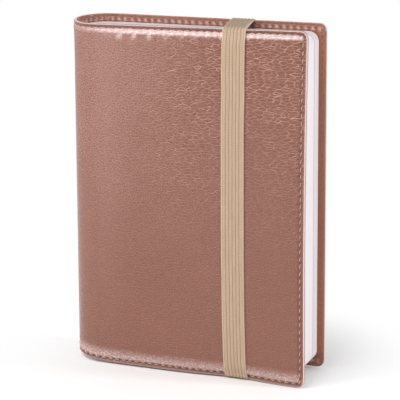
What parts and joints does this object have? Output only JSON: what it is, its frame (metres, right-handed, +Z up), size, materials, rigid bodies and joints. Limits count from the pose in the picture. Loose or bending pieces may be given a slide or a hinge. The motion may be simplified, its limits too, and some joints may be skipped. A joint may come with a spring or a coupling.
{
  "type": "pocket diary",
  "caption": "Padded leather pocket diary with a round spine, a sewn page block and an elastic closing band; both covers and the loose leaves turn on the spine.",
  "frame": {"origin": "middle of the bounding box's base, between the two covers, with the closed diary standing on its bottom edges", "axes": "+X runs from the spine to the fore edge, the front cover faces -Y, +Z is up along the spine"},
  "size_m": [0.1134, 0.0354, 0.157],
  "materials": {
    "cover_leather": "smooth padded leather in dull rose brown with a soft sheen",
    "lining": "thin brown lining leather, matt",
    "foam": "thin foam sheet",
    "board": "grey bookbinding board",
    "paper": "smooth white book paper",
    "endpaper": "plain cream endpaper",
    "divider": "blue grey card",
    "mull": "open binding cloth",
    "thread": "waxed sewing thread",
    "elastic": "ribbed beige elastic with a dull gold sheen"
  },
  "bodies": {
    "book": {"spine_leather": "cover_leather", "spine_card": "board", "spine_lining": "lining", "spine_mull": "mull", "page_block": "paper", "divider_card": "divider", "address_section": "paper"},
    "front_cover": {"front_leather": "cover_leather", "front_padding": "foam", "front_board": "board", "front_lining": "lining", "front_pastedown": "endpaper", "front_needle_thread": "thread", "front_bobbin_thread": "thread"},
    "back_cover": {"back_leather": "cover_leather", "back_padding": "foam", "back_board": "board", "back_lining": "lining", "back_pastedown": "endpaper", "back_needle_thread": "thread", "back_bobbin_thread": "thread", "elastic_band": "elastic"},
    "flyleaf_front": {"front_flyleaf": "endpaper"},
    "leaf_1": {"first_leaf": "paper"},
    "leaf_2": {"second_leaf": "paper"},
    "leaf_3": {"third_leaf": "paper"},
    "leaf_4": {"fourth_leaf": "paper"},
    "leaf_5": {"fifth_leaf": "paper"},
    "flyleaf_back": {"back_flyleaf": "endpaper"}
  },
  "joints": [
    {"name": "front_cover_open", "type": "hinge", "parent": "book", "child": "front_cover", "pos_m": [-0.04305, -0.01475, 0.0785], "axis": [0, 0, -1], "range_deg": [0, 175], "deforming": ["elastic_band"]},
    {"name": "back_cover_open", "type": "hinge", "parent": "book", "child": "back_cover", "pos_m": [-0.04305, 0.01475, 0.0785], "axis": [0, 0, 1], "range_deg": [0, 175]},
    {"name": "front_flyleaf_turn", "type": "hinge", "parent": "book", "child": "flyleaf_front", "pos_m": [-0.04305, -0.01475, 0.0785], "axis": [0, 0, -1], "range_deg": [0, 165]},
    {"name": "leaf_1_turn", "type": "hinge", "parent": "book", "child": "leaf_1", "pos_m": [-0.04305, -0.01475, 0.0785], "axis": [0, 0, -1], "range_deg": [0, 137]},
    {"name": "leaf_2_turn", "type": "hinge", "parent": "book", "child": "leaf_2", "pos_m": [-0.04305, -0.01475, 0.0785], "axis": [0, 0, -1], "range_deg": [0, 106]},
    {"name": "leaf_3_turn", "type": "hinge", "parent": "book", "child": "leaf_3", "pos_m": [-0.04305, -0.01475, 0.0785], "axis": [0, 0, -1], "range_deg": [0, 74]},
    {"name": "leaf_4_turn", "type": "hinge", "parent": "book", "child": "leaf_4", "pos_m": [-0.04305, -0.01475, 0.0785], "axis": [0, 0, -1], "range_deg": [0, 46]},
    {"name": "leaf_5_turn", "type": "hinge", "parent": "book", "child": "leaf_5", "pos_m": [-0.04305, -0.01475, 0.0785], "axis": [0, 0, -1], "range_deg": [0, 22]},
    {"name": "back_flyleaf_turn", "type": "hinge", "parent": "book", "child": "flyleaf_back", "pos_m": [-0.04305, 0.01475, 0.0785], "axis": [0, 0, 1], "range_deg": [0, 158]}
  ],
  "couplings": [
    {"joint": "front_flyleaf_turn", "follows": "front_cover_open", "ratio": 0.94},
    {"joint": "leaf_1_turn", "follows": "front_cover_open", "ratio": 0.78},
    {"joint": "leaf_2_turn", "follows": "front_cover_open", "ratio": 0.6},
    {"joint": "leaf_3_turn", "follows": "front_cover_open", "ratio": 0.42},
    {"joint": "leaf_4_turn", "follows": "front_cover_open", "ratio": 0.26},
    {"joint": "leaf_5_turn", "follows": "front_cover_open", "ratio": 0.12},
    {"joint": "back_flyleaf_turn", "follows": "back_cover_open", "ratio": 0.9}
  ]
}
